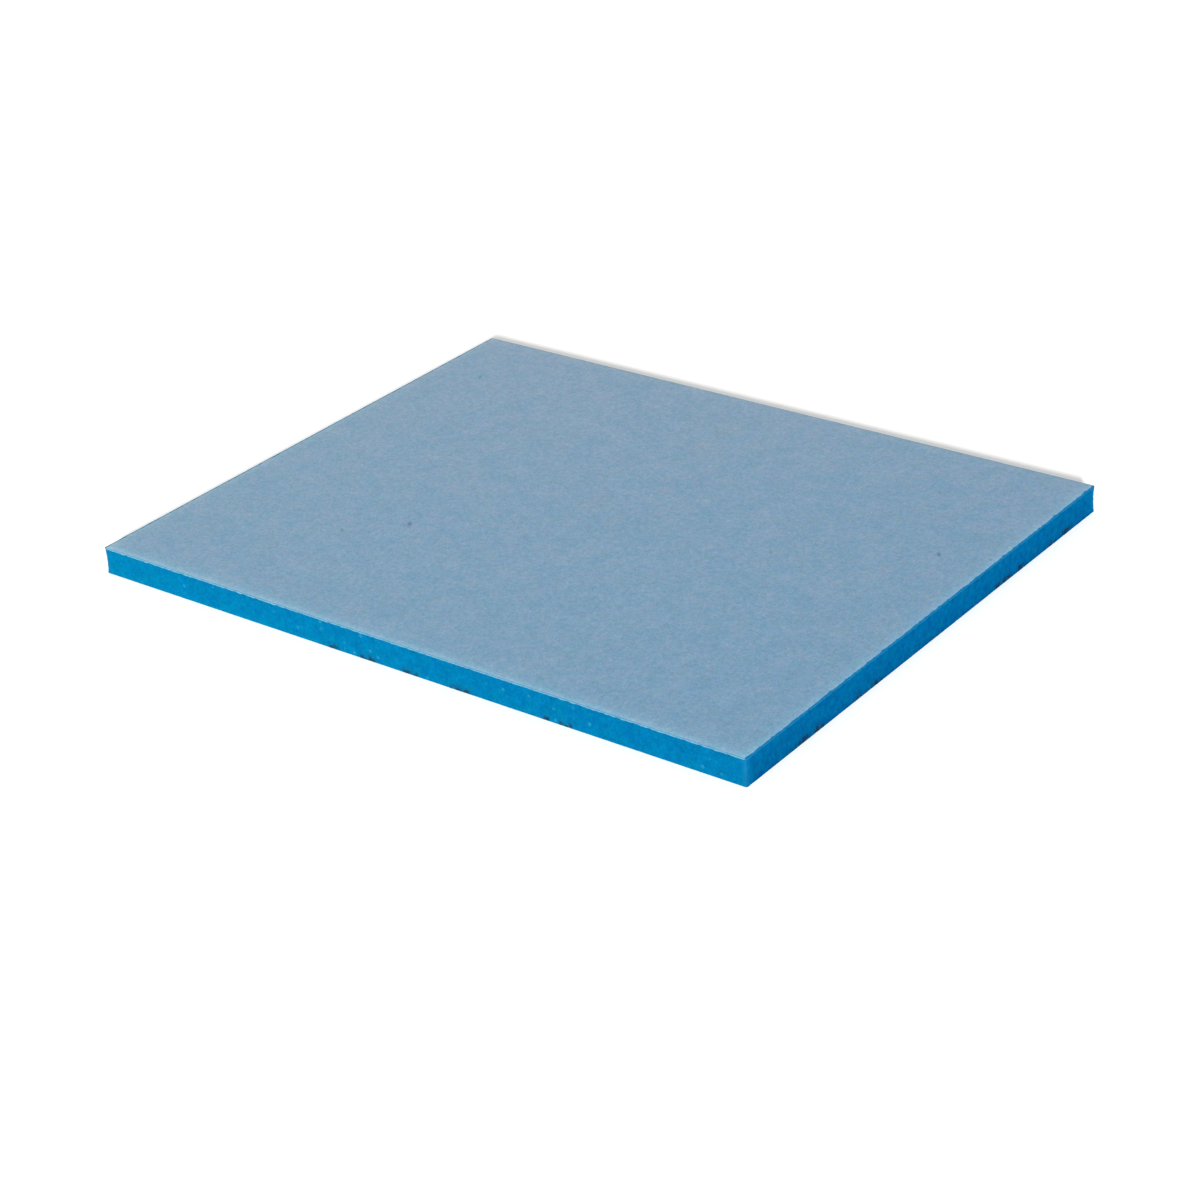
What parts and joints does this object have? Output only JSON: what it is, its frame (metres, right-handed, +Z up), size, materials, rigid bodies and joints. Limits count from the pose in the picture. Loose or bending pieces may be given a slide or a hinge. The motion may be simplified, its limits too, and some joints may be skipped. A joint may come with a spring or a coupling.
{
  "type": "sanding sponge",
  "caption": "Thin flat rectangular sanding sponge: soft blue foam sheet with fine grey abrasive grain bonded to one face, used by hand.",
  "frame": {"origin": "centre of the underside, the plain foam face that the pad lies on", "axes": "+X along the long side, +Y along the short side, +Z up through the thickness, out of the abrasive face"},
  "size_m": [0.14, 0.112, 0.0052],
  "materials": {
    "foam": "matt open-cell polyurethane foam, saturated blue, knife-cut walls with fine open pores",
    "grain": "matt fine mineral grain in resin, pale grey-blue, faintly mottled"
  },
  "bodies": {
    "root": {"foam_pad": "foam", "abrasive_coat": "grain"}
  },
  "joints": []
}
